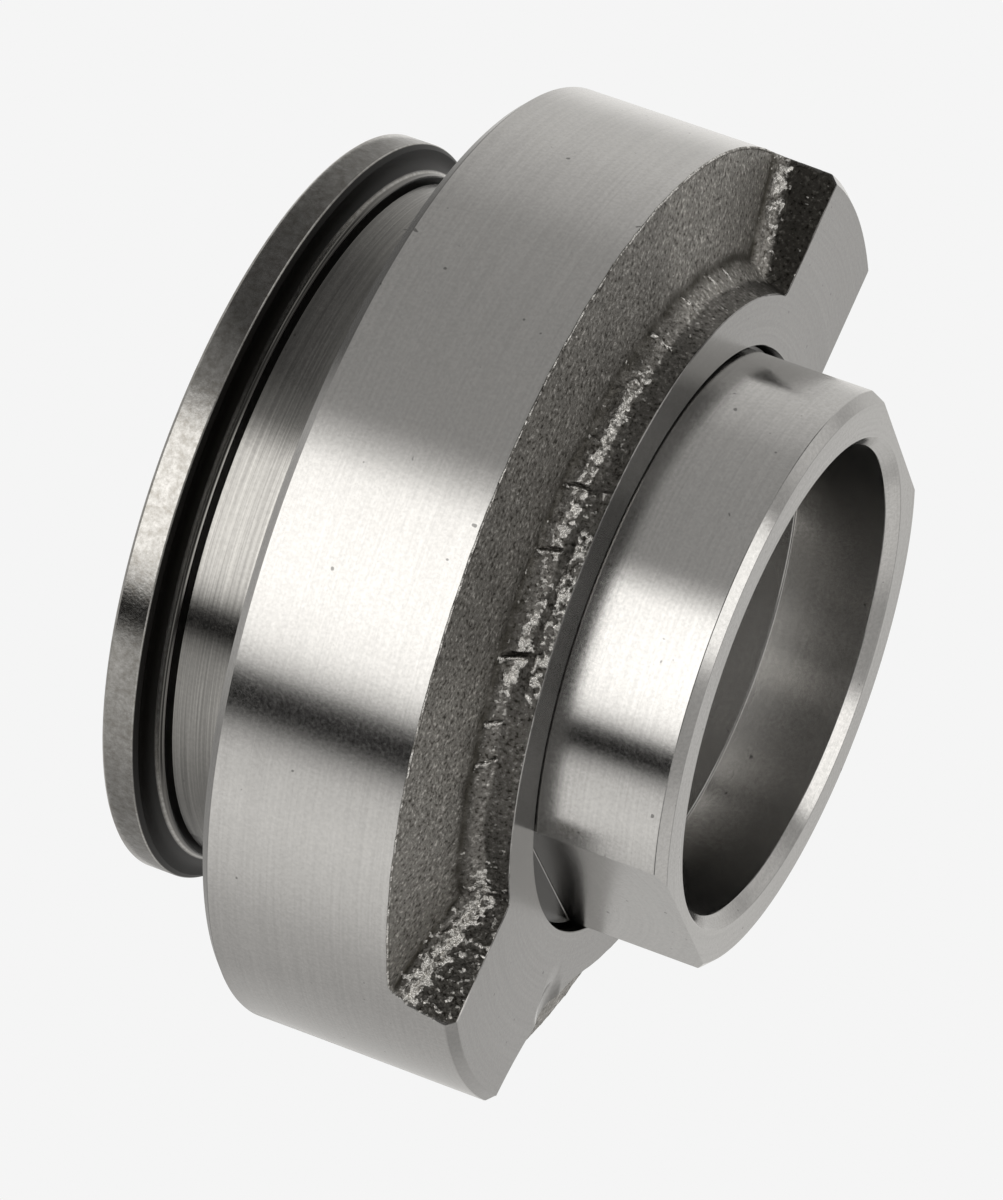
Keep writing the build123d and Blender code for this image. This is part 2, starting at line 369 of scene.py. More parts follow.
# %% [markdown]
# ### From points to a mesh
# Blender takes whole arrays of points, which is far quicker than one vertex at a time. Shading is smooth
# except where two faces meet at a clear angle.

# %% the mesh
sharp_from = np.radians(18)


def skin(name, points, body, replaces, marks=None, rough=None):
    """Builds the mesh of a closed grid: point (i, j) is joined to its next row and next column, both
    wrapping round. Its volume is summed from the corners' triple products, and a negative one turns
    every face over. Edges over 18 degrees are sharp, except between two rough points."""
    rows, columns = points.shape[:2]
    index = np.arange(rows * columns).reshape(rows, columns)
    down, right = np.roll(index, -1, axis=0), np.roll(index, -1, axis=1)
    quads = np.stack((index, down, np.roll(down, -1, axis=1), right), axis=-1).reshape(-1, 4)
    flat = points.reshape(-1, 3)
    a, b, c, d = (flat[quads[:, k]] for k in range(4))
    volume = sum(np.einsum("ij,ij->i", a, np.cross(*pair)).sum() for pair in ((b, c), (c, d))) / 6
    if volume < 0:
        quads = quads[:, ::-1]
    mesh = bpy.data.meshes.new(name)
    mesh.vertices.add(len(flat))
    mesh.vertices.foreach_set("co", (flat * MM).ravel())
    mesh.loops.add(quads.size)
    mesh.loops.foreach_set("vertex_index", quads.ravel())
    mesh.polygons.add(len(quads))
    mesh.polygons.foreach_set("loop_start", np.arange(0, quads.size, 4))
    mesh.update(calc_edges=True)
    mesh.polygons.foreach_set("use_smooth", np.ones(len(quads), bool))
    mesh.set_sharp_from_angle(angle=sharp_from)
    if rough is not None:
        ends = np.empty(2 * len(mesh.edges), np.int32)
        mesh.edges.foreach_get("vertices", ends)
        sharp = np.empty(len(mesh.edges), bool)
        mesh.attributes["sharp_edge"].data.foreach_get("value", sharp)
        sharp &= ~(rough.ravel()[ends.reshape(-1, 2)] > 0.5).all(axis=1)
        mesh.attributes["sharp_edge"].data.foreach_set("value", sharp)
    for mark, values in (marks or {}).items():
        made = mesh.attributes.new(mark, "FLOAT", "POINT")
        made.data.foreach_set("value", values.ravel().astype(np.float32))
    piece = placed(name, mesh)
    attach(piece, body)
    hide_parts(replaces)
    print(name, "triangles", 2 * len(quads), "volume in cm3", round(abs(volume) / 1000, 2))
    return piece


# %% [markdown]
# ## Random grain
# Forged scale, tool chatter and wear all need noise. Here it is made from a block of seeded random
# numbers: a point falls in one cell of the block, and the eight numbers at the cell's corners are
# blended.

# %% grain
block_size = 32


def grain(points, cell, seed):
    """Smooth bumps between -1 and 1 with that cell size. The blend on each axis is t*t*(3-2t), without
    kinks."""
    block = np.random.default_rng(seed).uniform(-1, 1, (block_size,) * 3)
    scaled = points / cell
    base = np.floor(scaled).astype(int)
    t = scaled - base
    t = t * t * (3 - 2 * t)
    total = 0.0
    for corner in np.ndindex(2, 2, 2):
        weight = np.where(corner, t, 1 - t).prod(axis=-1)
        spot = (base + corner) % block_size
        total = total + weight * block[spot[..., 0], spot[..., 1], spot[..., 2]]
    return total


def grains(points, *parts):
    """A sum of grains. Each part is (height, cell, seed)."""
    return sum(height * grain(points, cell, seed) for height, cell, seed in parts)


# %% smooth steps
def ease(low, high, values):
    """0 below low, 1 above high, and a smooth step between."""
    t = np.clip((values - low) / (high - low), 0, 1)
    return t * t * (3 - 2 * t)


def stretch(angles, start, full, last, end):
    """1 along a stretch of the circumference: it rises from start to full and falls from last to end."""
    return ease(start, full, angles) * (1 - ease(last, end, angles))


# %% [markdown]
# ## The carrier's form
# The carrier is one forging. Its outside, its front face and its bore are turned bright, and the
# shoulder and the walls round the boss keep the forged skin. A lathe profile alone can't make the pads,
# so the skin is worked out as a radius for every angle and height: the larger of the drafted wall and
# the sloping shoulder, cut off at the cylinder. Half-way down, the wall steps out over a small crest, as
# a forging does where its dies meet.

# %% sizes of the carrier
low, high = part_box("carrier")
carrier_r, carrier_foot, front_face = high.x / MM, low.z / MM, high.z / MM
sleeve_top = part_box("guide_sleeve")[1].z / MM
carrier_bore_r = 31.25
boss_r, pad_half, pad_shift, corner_blend, web_r = 36.6, 11.2, 0.5, 1.5, 25.0
pad_grow, pad_root_r = 1.5, 38.9  # how far down the wall a pad is measured, and where it starts there
upper_draft, lower_slope, steepened = np.radians(16), 0.352, 0.9
crest_drop, crest_width, crest_half, crest_fall, crest_span = 2.8, 0.35, 0.6, 0.27, 0.72
crest_dip, crest_wander, width_wander = 0.45, 0.25, 0.6
shoulder_drop, shoulder_slope, valley_blend = 6.8, np.radians(11), 1.5
pad_chamfer, foot_chamfer, edge_break, lip = 0.9, 1.0, 0.07, 0.10
rim_z = front_face - shoulder_drop

tell("carrier radius and front face in mm:", carrier_r, front_face)

# %% [markdown]
# ### Where the forging differs
# No two sides of a forging are alike, so some traits belong to a stretch of the circumference. A stretch
# is four angles in radians: a trait starts at the first, is full from the second to the third, and ends
# at the fourth. The photograph shows the half from pi to two pi.

# %% stretches and folds
deep_crest = (5.15, 5.30, 5.68, 5.78)
steep_side = (5.93, 6.03)  # a single step
plain_crests = ((5.22, 5.36, 5.76, 5.88), (3.42, 3.50, 4.04, 4.50))
coarse_stretch = (4.73, 4.88, 5.22, 5.34)
wide_valley, pale_foot, dim_stretch = (4.0, 4.2, 5.15, 5.3), (4.0, 4.12, 5.25, 5.35), (4.0, 4.12, 5.15, 5.3)
folds = (  # angle in degrees and depth in mm of each fold on the wall
    (213.4, 0.12), (219.3, 0.14), (228.8, 0.14), (240, 0.16), (251.5, 0.10), (261, 0.12), (269, 0.28),
    (279.5, 0.26), (287, 0.08), (295.8, 0.32), (306.3, 0.16), (313, 0.20))
hidden_folds = [(degrees, 0.15) for degrees in np.arange(34, 158, 9.5)]
print("folds seen", len(folds), "and hidden", len(hidden_folds))


# %% the front face's outline and the turned outside
def outline(angles, grow):
    """Radius of the front face's outline, grown outwards: the larger of the round boss and the
    parallel-sided pad, with a soft blend. One corner is fuller: there the radius is the near side of a
    big circle that touches both."""
    half = pad_half - pad_shift * np.sign(np.sin(angles))
    disc, pad = boss_r + grow, (half + grow) / np.maximum(np.abs(np.sin(angles)), 1e-6)
    close = np.maximum(corner_blend - np.abs(disc - pad), 0)
    plain = np.maximum(disc, pad) + close**2 / (4 * corner_blend)
    web_y, reach = pad_half - pad_shift + web_r, boss_r + web_r
    web_x = np.sqrt(reach**2 - web_y**2)
    toward = reach * np.cos(angles - np.arctan2(web_y, web_x))
    left = toward**2 - reach**2 + (web_r - grow) ** 2
    web = toward - np.sqrt(np.maximum(left, 0))
    there = (left > 0) & (angles < np.arctan2(web_y, web_x)) & (web * np.cos(angles) < web_x)
    return np.where(there, np.maximum(plain, web), plain)


def turned_limit(height):
    """The turned outside: the carrier's radius, less the pad rim's chamfer near the front face."""
    return carrier_r - np.maximum(height - (front_face - pad_chamfer), 0)


# %% the wall, the crest and the shoulder
def along_pad(angles):
    """How far out along a pad's side an angle lies, in mm from the boss."""
    return np.maximum(np.minimum(outline(angles, pad_grow), carrier_r) - pad_root_r, 0)


def crest_place(angles):
    """How far below the front face the crest lies, and how wide its step is. It falls away along the
    pads, as the shoulder does, dips on one stretch, and both wander round the boss."""
    ring = spun(boss_r, 0.0, angles)
    dip = crest_dip * stretch(angles, *deep_crest)
    middle = crest_drop + dip + crest_fall * along_pad(angles) + crest_wander * grain(ring, 5.0, 20)
    return middle, crest_width * (1 + width_wander * grain(ring, 2.5, 21))


def wall_radius(angles, height):
    """The wall round the boss and pads. Its distance outside the outline is its draft, plus the crest's
    step, plus a flatter slope below the crest, which one pad's side nearly lacks."""
    drop = front_face - height
    middle, width = crest_place(angles)
    grow = drop * np.tan(upper_draft) + width * ease(-crest_half, crest_half, drop - middle)
    slope = lower_slope * (1 - steepened * ease(*steep_side, angles))
    return outline(angles, grow + slope * np.maximum(drop - middle, 0))


def shoulder_radius(height):
    """The sloping shoulder: a cone that leaves the cylinder at the rim."""
    return carrier_r - (height - rim_z) / np.tan(shoulder_slope)


def forged_radius(angles, height):
    """The larger of wall and shoulder, softly blended in the valley between them."""
    wall, shoulder = wall_radius(angles, height), shoulder_radius(height)
    close = np.maximum(valley_blend - np.abs(wall - shoulder), 0)
    return np.maximum(wall, shoulder) + close**2 / (4 * valley_blend)


# %% [markdown]
# ### A grid that follows the pads' edges
# A grid edge has to lie on every sharp edge, or the edge comes out as a saw. The rows do that by
# themselves, because the turned edges are level. The four edges where a pad's side meets the cylinder
# slant, so the columns near each are pushed sideways, row by row, until one of them lies on it.

# %% the pads' edges
top_rows, rim_rows = [lip, lip + 0.03], [shoulder_drop - 0.025, shoulder_drop]
crest_rows, valley_rows = np.arange(0.28, 4.31, 0.145), np.linspace(4.43, shoulder_drop - 0.06, 26)
drops = np.concatenate((top_rows, crest_rows, valley_rows, rim_rows))  # below the front face, for each row
heights = (front_face - drops)[:, None]
pad_sides = [(side, sign) for side in (0.0, np.pi) for sign in (-1, 1)]
edge_lines = []
for side, sign in pad_sides:
    tries = side + sign * np.radians(np.linspace(9, 24, 1501))
    line = tries[(forged_radius(tries, heights) < turned_limit(heights)).argmax(axis=1)]
    line[-1] = line[-2]  # at the rim the shoulder itself reaches the cylinder
    edge_lines.append(line)
tell("edges in degrees:", *(np.degrees(line[0]) for line in edge_lines))

# %% the forged skin's grid
column_count, edge_zone, fold_zone = 1010, (3.0, 3.5), (1.3, 2.5)
edge_reach, edge_wander = np.radians(9), 0.0012
zones = [(np.degrees(line.mean()), *edge_zone) for line in edge_lines]
zones += [(degrees, *fold_zone) for degrees, _ in folds]
columns = turns(column_count, *zones)
levels = heights * (1, 0, 0)
angles = pushed(columns, edge_lines, edge_reach, edge_wander * grain(levels, 0.8, 22))
radii = np.minimum(forged_radius(angles, heights), turned_limit(heights))
heights = np.broadcast_to(heights, radii.shape)
skin_points = spun(radii, heights, angles)
print("forged rows", len(drops), "columns", len(columns))

# %% [markdown]
# ### Scale, ridges and cracks
# The forged skin isn't smooth. The crest is knobbly and glitters, partly by painted glints, the wall
# below it is smoother with a fold across it here and there, and the shoulder is finely pitted like cast
# iron. A texture could push the points, but it doesn't know where the wall is, so each kind of skin gets
# a mask on the grid itself.

# %% masks over the skin
plain_share, hidden_coarse = 0.85, 0.6
drop = front_face - heights
middle, _ = crest_place(angles)
inside = ease(0.03, 0.45, turned_limit(heights) - radii)  # 0 where the lathe has cut
above_valley = wall_radius(angles, heights) - shoulder_radius(heights)
on_wall = ease(0.0, 2.0, above_valley)
off_crest = (drop - middle) / (1 + 0.75 * ease(0.0, 2.0, along_pad(angles)))
upper = on_wall * (1 - ease(-0.6, -0.2, off_crest))
lower = on_wall * ease(0.0, 0.5, off_crest)
crest = on_wall * np.exp(-(np.abs(off_crest / crest_span) ** 3))
for plain in plain_crests:
    crest *= 1 - plain_share * stretch(angles, *plain)
coarse_side = stretch(angles, *coarse_stretch) * (1 - ease(1.2, 1.8, drop))
coarse_side += hidden_coarse * (1 - ease(2.6, 3.2, angles))
coarse_pad = ease(5.76, 5.92, angles) + 0.8 * (1 - ease(0.35, 0.60, angles))
near_pad = ease(0.84, 0.90, np.abs(np.cos(angles)))
off_pads = on_wall * (1 - near_pad) * (1 - 0.8 * ease(0.2, 0.9, -off_crest))
folded = ease(1.0, 4.0, above_valley) * off_pads
tell("shares of crest and wall:", crest.mean(), on_wall.mean())

# %% [markdown]
# ### Folds across the wall
# Where the steel folded over itself in the die, a fine hollow crosses the wall with a ridge beside it.
# The deepest hold dirt and painted shade, and their ridges are rubbed bright, partly by painted glints.

# %% folds across the wall
fold_width, fold_slant, fold_wander = 0.20, 0.010, 0.010
ridge_place, ridge_width, bright_width = 1.7, 1.2, 2.0  # in widths of the hollow
ridge_share = 0.7  # the ridge's height over the hollow's depth
fold_push, cracks, sparks = np.zeros_like(radii), np.zeros_like(radii), np.zeros_like(radii)
slant = fold_slant * (drop - 2.5) + fold_wander * grain(skin_points, 1.6, 9)
for degrees, depth in (*folds, *hidden_folds):
    across = (angles - (np.radians(degrees) + slant)) * radii / fold_width
    hollow = np.exp(-(across**2))
    ridge = np.exp(-(((across - ridge_place) / ridge_width) ** 2))
    fold_push += depth * (ridge_share * ridge - hollow)
    cracks += ease(0.18, 0.32, depth) * hollow
    sparks += ease(0.05, 0.15, depth) * np.exp(-(((across - ridge_place) / bright_width) ** 2))
cracks = np.minimum(cracks, 1) * folded
sparks = np.minimum(sparks, 1) * ease(0.2, 1.4, above_valley) * off_pads
tell("folds push in mm:", fold_push.min(), fold_push.max())

# %% [markdown]
# ### Pushing the skin in and out
# Each kind of skin has grain of its own size. It is pushed out along the surface's normal, which comes
# from the cross product of the grid's two directions. The turned faces stay clean, and the lathe's cut
# trims whatever sticks out past it.

# %% normals and push
relief = (  # where, and the height, cell and seed of each grain there
    (1.0, ((0.07, 5.0, 2), (0.04, 2.2, 3))),
    (crest, ((0.17, 0.9, 4), (0.13, 0.5, 5))),
    (upper * (0.02 + 0.11 * coarse_side), ((1.0, 0.85, 6), (0.5, 0.5, 15))),
    (0.03 * lower + 0.06 * on_wall * coarse_pad, ((1.0, 0.8, 16), (1.0, 0.5, 17))),
    (lower, ((0.08, 1.7, 18),)),
    (1 - on_wall, ((0.03, 0.8, 7), (0.015, 0.5, 8))))
along_rows = np.gradient(skin_points, axis=0)
along_columns = np.roll(skin_points, -1, axis=1) - np.roll(skin_points, 1, axis=1)
normals = np.cross(along_columns, along_rows)
normals /= np.maximum(np.linalg.norm(normals, axis=-1, keepdims=True), 1e-9)
normals *= np.sign(normals[..., 0] * np.cos(angles) + normals[..., 1] * np.sin(angles))[..., None]
push = fold_push * folded
for where, parts in relief:
    push += where * grains(skin_points, *parts)
push *= inside
tell("push in mm:", push.min(), push.max())

# %% move the skin, and trim it
burr = 0.07
moved = skin_points + push[..., None] * normals
top_wander = grains(skin_points[0], (0.06, 1.1, 10), (0.04, 3.0, 11))
moved[0, :, :2] = skin_points[0, :, :2] * (1 + inside[0] * top_wander / radii[0])[:, None]
moved[..., 2] = np.minimum(moved[..., 2], front_face - lip)
rim_wander = grains(skin_points[-1], (0.05, 2.0, 12), (0.04, 0.8, 13))
moved[-2:, :, 2] += rim_wander
moved[-1, :, 2] -= burr + burr * grain(skin_points[-1], 0.5, 23)
spread = np.hypot(moved[..., 0], moved[..., 1])
moved[..., :2] *= (np.minimum(spread, turned_limit(moved[..., 2])) / spread)[..., None]
tell("rim's height in mm:", moved[-1, :, 2].min(), moved[-1, :, 2].max())

# %% [markdown]
# ### The front face and its scoop
# The face is flat from the bore to the forged edge. Near the fuller corner lies a shallow scoop. It is a
# round bowl that face and wall are both cut down to, so no edge runs through it.

# %% the front face and its scoop
scoop_x, scoop_y, scoop_r, scoop_depth, scoop_rows, scoop_grain = 36.4, 13.9, 8.4, 0.5, 12, 0.03
face_shares = np.array([0.0, 0.3, 0.5, 0.6, 0.68, 0.76, 0.83, 0.89, 0.94, 0.98, 1.0])[:, None]
face_start, face_inset = carrier_bore_r + edge_break, 0.6 * lip
face_end = np.hypot(moved[0, :, 0], moved[0, :, 1]) - face_inset
face = spun(face_start + face_shares * (face_end - face_start), front_face, columns)
for patch in (face, moved[:scoop_rows]):
    away = np.hypot(patch[..., 0] - scoop_x, patch[..., 1] - scoop_y)
    scoop = front_face - scoop_depth + away**2 / (2 * scoop_r)
    scooped = ease(-0.15, 0.0, patch[..., 2] - scoop)
    patch[..., 2] = np.minimum(patch[..., 2], scoop + scoop_grain * grain(patch, 0.9, 14))
tell("face from and to in mm:", face_start, face_end.max())

# %% [markdown]
# ### The cylinder and the stepped bore
# Below the rim the carrier is plain lathe work, so a section is enough. It runs down the cylinder and up
# the bore, past the snap ring's groove, the race's seat and the flange's cavity. The columns come back to
# their first places within 3 mm of the rim.

# %% the cylinder and the bore
seat_r, groove_r, cavity_r, cavity_top = 45.498, 46.998, 41.0, 35.5
snap_z, race_z, plate_top, mouth_chamfer = 17.3, 18.7, 31.7, 0.5
rim_edge, rim_fade = 0.12, 3.0
under = broken([(carrier_r, rim_z), (carrier_r, carrier_foot + foot_chamfer),
                (carrier_r - foot_chamfer, carrier_foot), (seat_r + mouth_chamfer, carrier_foot),
                (seat_r, carrier_foot + mouth_chamfer), (seat_r, snap_z), (groove_r, snap_z),
                (groove_r, race_z), (seat_r, race_z), (seat_r, plate_top), (cavity_r, plate_top),
                (cavity_r, cavity_top), (carrier_bore_r, cavity_top), (carrier_bore_r, front_face)],
               edge_break, closed=False)
fade = ease(rim_z - rim_fade, rim_z, under[:, 1])[:, None]
rest = spun(under[:, :1], under[:, 1:], columns + fade * (angles[-1] - columns))
rest[0, :, 2] += rim_wander - rim_edge
carrier_points = np.concatenate((face, moved, rest))
print("rows on the face", len(face), "the skin", len(moved), "and the rest", len(rest))

# %% [markdown]
# ### Marks for the material
# The material has to know where the skin is forged, where dirt and painted shade lie, where painted
# shade darkens the scale and where the scale is rubbed off, with a light tone that paints glints. The
# mesh carries a number from 0 to 1 at each point for each of these.

# %% marks of skin and of bare metal
def patchy(points, mean, swing, cell, seed, least=0.0):
    """A share that wanders over the points round its mean, and stays between the least and 1."""
    return np.clip(mean + swing * grain(points, cell, seed), least, 1)


on_skin = ease(0.0, 0.1, turned_limit(heights) - radii)
on_skin[-1] = on_skin[-2]  # the burr is forged, though it stands at the cylinder
on_skin[:scoop_rows] *= 1 - scooped
on_skin[0] = 0
# where coarse lumps lose their scale, and their light tone paints glints
coarse = np.clip(crest + upper * coarse_side + 0.42 * on_wall * coarse_pad, 0, 1)
coarse *= patchy(skin_points, 0.95, 0.5, 2.4, 19, least=0.3)
coarse = np.maximum(coarse, sparks) * (1 - 0.9 * cracks)
# the burr at the rim: tops rubbed clean, whose light tone also paints glints along it
coarse[-2:] = patchy(skin_points[-2:], 0.8, 0.6, 3.0, 25)
tell("forged and coarse shares:", on_skin.mean(), coarse.mean())


# %% marks of dirt and painted shade in the valley and the cracks
def lopsided(values, centre, below, above):
    """A bell with a width of its own on each side of its centre."""
    return np.exp(-(((values - centre) / np.where(values > centre, above, below)) ** 2))


# dirt and painted shade: a bell across the valley, wider and darker on some stretches, then a narrow line
# at the wall's foot and the deepest cracks
valley = lopsided(above_valley, 1.2, 1.8, 2.2 + 2.6 * stretch(angles, *wide_valley))
valley *= inside * patchy(skin_points, 0.72, 0.4, 1.3, 24) * (0.55 + 0.45 * ease(3.95, 4.1, angles))
foot_line = lopsided(above_valley, 0.6, 1.1, 2.6) * (1 - 0.15 * stretch(angles, *pale_foot))
valley = np.maximum(valley, inside * foot_line * patchy(skin_points, 0.95, 0.3, 1.3, 26))
valley = np.maximum(valley, 0.95 * cracks)
tell("dirty share:", valley.mean())

# %% marks of painted shade, and the mesh
shade_changes = (  # from an angle to another, and how much more painted shade the upper wall gets between them
    (3.1, 3.25, 0.37), (3.45, 3.55, -0.20), (3.62, 3.75, -0.22), (4.02, 4.18, 0.24), (5.2, 5.35, -0.15),
    (5.6, 5.8, 0.20))
upper_shade = 0.6 + sum(change * ease(start, end, angles) for start, end, change in shade_changes)
# painted shade: over a stretch of the shoulder, on the wall below the crest past 5.1 rad, and on the upper
# wall, by angle
shaded = 0.30 * stretch(angles, *dim_stretch)
shaded = np.maximum(shaded, 0.35 * on_wall * ease(5.1, 5.3, angles))
shaded = np.maximum(shaded, upper * upper_shade * (1 - 0.3 * np.minimum(coarse_side, 1)))
marks = {}
for name, level, part in (("forged", 0, on_skin), ("valley", 0, valley), ("shaded", 0, shaded),
                          ("coarse", 0, coarse), ("faced", 1, drop < pad_chamfer)):
    marks[name] = np.concatenate((np.full(face.shape[:2], float(level)), part, np.zeros(rest.shape[:2])))
carrier = skin("carrier_skin", carrier_points, "carrier", "carrier", marks,
               rough=marks["forged"])

# %% [markdown]
# ## The guide sleeve
# A flanged tube, turned all over, with two milled flats for the fork. Its section has a fine line in the
# bore, extra rows on the outer chamfer, where the flats cut it to a curve, and a small fillet at the
# flats' foot.

# %% the sleeve's section
bore_r, sleeve_r, flat_half, flat_foot = 25.0, 30.8, 27.4, 42.3
mouth, end_chamfer, sleeve_foot = 1.2, 1.0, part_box("guide_sleeve")[0].z / MM
flange_r, flange_low, flange_top = 39.9, 33.3, 35.5
line_z, line_width, line_depth = 46.6, 0.16, 0.10
sleeve_edge, fillet_r, fillet_mid = 0.05, 0.12, 0.04
section = broken([
    (bore_r + mouth, sleeve_top), (sleeve_r - end_chamfer, sleeve_top),
    (sleeve_r, sleeve_top - end_chamfer), (sleeve_r, flat_foot), (sleeve_r, flange_top),
    (flange_r, flange_top), (flange_r, flange_low), (sleeve_r, flange_low),
    (sleeve_r, sleeve_foot + end_chamfer), (sleeve_r - end_chamfer, sleeve_foot),
    (bore_r + mouth, sleeve_foot), (bore_r, sleeve_foot + mouth), (bore_r, line_z - line_width),
    (bore_r + line_depth, line_z), (bore_r, line_z + line_width), (bore_r, sleeve_top - mouth)],
    sleeve_edge)
chamfer_rows = np.linspace(section[3], section[4], 8)[1:-1]
section = np.concatenate((section[:4], chamfer_rows, section[4:]))
foot_row = int(np.flatnonzero(np.isclose(section[:, 1], flat_foot + sleeve_edge))[0])
fillet = [(sleeve_r, flat_foot + rise) for rise in (fillet_r, fillet_mid, 0.0)]
section = np.concatenate((section[:foot_row], fillet, section[foot_row + 1:]))
lift = np.zeros((len(section), 1))
lift[foot_row + 1:foot_row + 3, 0] = (fillet_mid, fillet_r)
print("rows of the sleeve's section", len(section))

# %% [markdown]
# ### The flats
# The rows above the flats' foot are held inside two parallel planes: the radius is the smaller of the
# tube's and flat / |cos a|. A flat ends where the two are equal. On the chamfer that lies at another
# angle on each row, so the columns are pushed sideways there, as they were beside the pads.

# %% the sleeve
sleeve_columns, flat_zone, flat_reach = 900, (1.5, 8), np.radians(15)
above = section[:, 1] >= flat_foot
cut = np.where(above & (section[:, 0] > flat_half), section[:, 0], sleeve_r)
flat_lines = [side + sign * np.arccos(flat_half / cut) for side, sign in pad_sides]
sleeve_turns = turns(sleeve_columns, *[(np.degrees(line[0]), *flat_zone) for line in flat_lines])
sleeve_angles = pushed(sleeve_turns, flat_lines, flat_reach)
planes = (flat_half + lift) / np.maximum(np.abs(np.cos(sleeve_angles)), 1e-6)
sleeve_radius = np.where(above[:, None], np.minimum(section[:, :1], planes), section[:, :1])
sleeve = skin("guide_sleeve_skin", spun(sleeve_radius, section[:, 1:], sleeve_angles), "sleeve",
              "guide_sleeve")

# %% [markdown]
# ## The thrust ring
# The hardened ring has a rim and, behind it, a hollow cove that runs up to a small bead beside the neck.
# The cove is a line with half a sine of sag across it, and the bead steepens as (1-t)^2.5 until it stands
# upright.

# %% the cove and the bead
thrust_r, thrust_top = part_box("thrust_ring")[1].x / MM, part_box("thrust_ring")[1].z / MM
rim_top, rim_chamfer, rim_round = 3.4, 0.5, 0.12
bead_foot_r, bead_foot, bead_top_r, bead_top, bead_power = 37.03, 4.93, 36.70, 5.6, 2.5
cove_start_r, cove_start_z = thrust_r - rim_chamfer, rim_top + rim_chamfer
cove_sag_r, cove_sag_z = 0.147, 0.315
t = np.linspace(0, 1, 10)[:-1]
cove_r = cove_start_r + t * (bead_foot_r - cove_start_r) - cove_sag_r * np.sin(np.pi * t)
cove_z = cove_start_z + t * (bead_foot - cove_start_z) - cove_sag_z * np.sin(np.pi * t)
cove = [(thrust_r - rim_round, rim_top + rim_round), *zip(cove_r, cove_z)]
t = np.linspace(0, 1, 9)
bead = np.column_stack((bead_top_r + (bead_foot_r - bead_top_r) * (1 - t) ** bead_power,
                        bead_foot + t * (bead_top - bead_foot)))
tell("cove's radii in mm:", cove_start_r, bead_foot_r)

# %% the thrust ring
spigot_r, spigot_step, ring_bore_r = 34.6, 1.6, 32.0
foot_edge, ring_edge, groove_drop, groove_edge = 0.3, 0.06, 0.04, 0.06
groove = [(bead_top_r - groove_edge, bead_top + groove_drop), (spigot_r + groove_edge, thrust_top)]
plain_rows = broken([(spigot_r, thrust_top), (spigot_r, spigot_step), (ring_bore_r, spigot_step),
                   (ring_bore_r, foot_edge), (ring_bore_r + foot_edge, 0), (thrust_r - foot_edge, 0),
                   (thrust_r, foot_edge), (thrust_r, rim_top)], ring_edge)[1:]
ring_section = np.concatenate((plain_rows, cove, bead, groove))
ring_turns = turns(720)
ring_marks = {name: np.zeros((len(ring_section), len(ring_turns))) for name in ("cove", "bead")}
# the cove, the bead's top edge and the groove beside the neck get painted shade
ring_marks["cove"][len(plain_rows):len(plain_rows) + len(cove)] = 1
ring_marks["cove"][-len(groove) - 1:] = 1
ring_marks["bead"][-len(bead) - len(groove) + 2:-len(groove) - 1] = 1
ring = skin("thrust_ring_skin", spun(ring_section[:, :1], ring_section[:, 1:], ring_turns), "rotor",
            "thrust_ring", ring_marks)

# %% [markdown]
# ## Turned steel
# Turned steel is a metal whose fine grooves run round the axis. The grooves spread a highlight along the
# axis, so the shader's anisotropy is turned a quarter from a tangent round Z. A noise that is squeezed
# along the radius and the height draws the tool's lines, and an even one the fine speckle between them.

# %% noises
def turned_noise(tree, around, across):
    """Noise on (x*around, y*around, (z + radius)*across), so its streaks run round the axis on a
    cylinder and on a face alike. The scales are in streaks per metre."""
    x, y, z = node(tree, "ShaderNodeSeparateXYZ", out(tree, "ShaderNodeTexCoord", "Object")).outputs
    level = out(tree, "ShaderNodeCombineXYZ", 0, x, y)
    radius = out(tree, "ShaderNodeVectorMath", "Value", level, operation="LENGTH")
    place = out(tree, "ShaderNodeCombineXYZ", 0, x, y, calculate(tree, "ADD", radius, z))
    squeeze = (around, around, across)
    squeezed = out(tree, "ShaderNodeVectorMath", 0, place, squeeze, operation="MULTIPLY")
    return out(tree, "ShaderNodeTexNoise", "Fac", Vector=squeezed, Scale=1.0, Detail=2.0, Roughness=0.6)


def even_noise(tree, scale, detail=3.0, roughness=0.6):
    """Noise with the same grain in every direction, on the object's own coordinates."""
    place = out(tree, "ShaderNodeTexCoord", "Object")
    return out(tree, "ShaderNodeTexNoise", "Fac", Vector=place, Scale=scale, Detail=detail,
               Roughness=roughness)


# %% bump, and a turned finish
def remap(tree, source, low, high, to_low, to_high):
    """Carries a value from one range into another and stays inside it."""
    return out(tree, "ShaderNodeMapRange", "Result", source, low, high, to_low, to_high)


def bump(tree, height, strength, distance, over=None):
    """A bumpy normal from a height, and over another bump where one is given."""
    made = node(tree, "ShaderNodeBump", Strength=strength, Distance=distance, Height=height)
    if over is not None:
        feed(tree, made.inputs["Normal"], over)
    return made.outputs[0]


def turned_tone(tree, colour, spread=0.045, streak_lines=3200.0):
    """The colour of turned steel: broad streaks round it, a few dark specks and a fine speckle."""
    darker, lighter = (tuple(min(1.0, c * (1 + s)) for c in colour) for s in (-spread, spread))
    tone = ramp(tree, turned_noise(tree, 40.0, streak_lines), [(0.32, darker), (0.68, lighter)])
    specks = ramp(tree, even_noise(tree, 1300.0, 0.0), [(0.845, 1.0), (0.865, 0.45)])
    speckles = ramp(tree, even_noise(tree, 2600.0, 2.0), [(0.35, 0.9), (0.65, 1.0)])
    return mixed(tree, 1.0, mixed(tree, 1.0, tone, specks, "MULTIPLY"), speckles, "MULTIPLY")


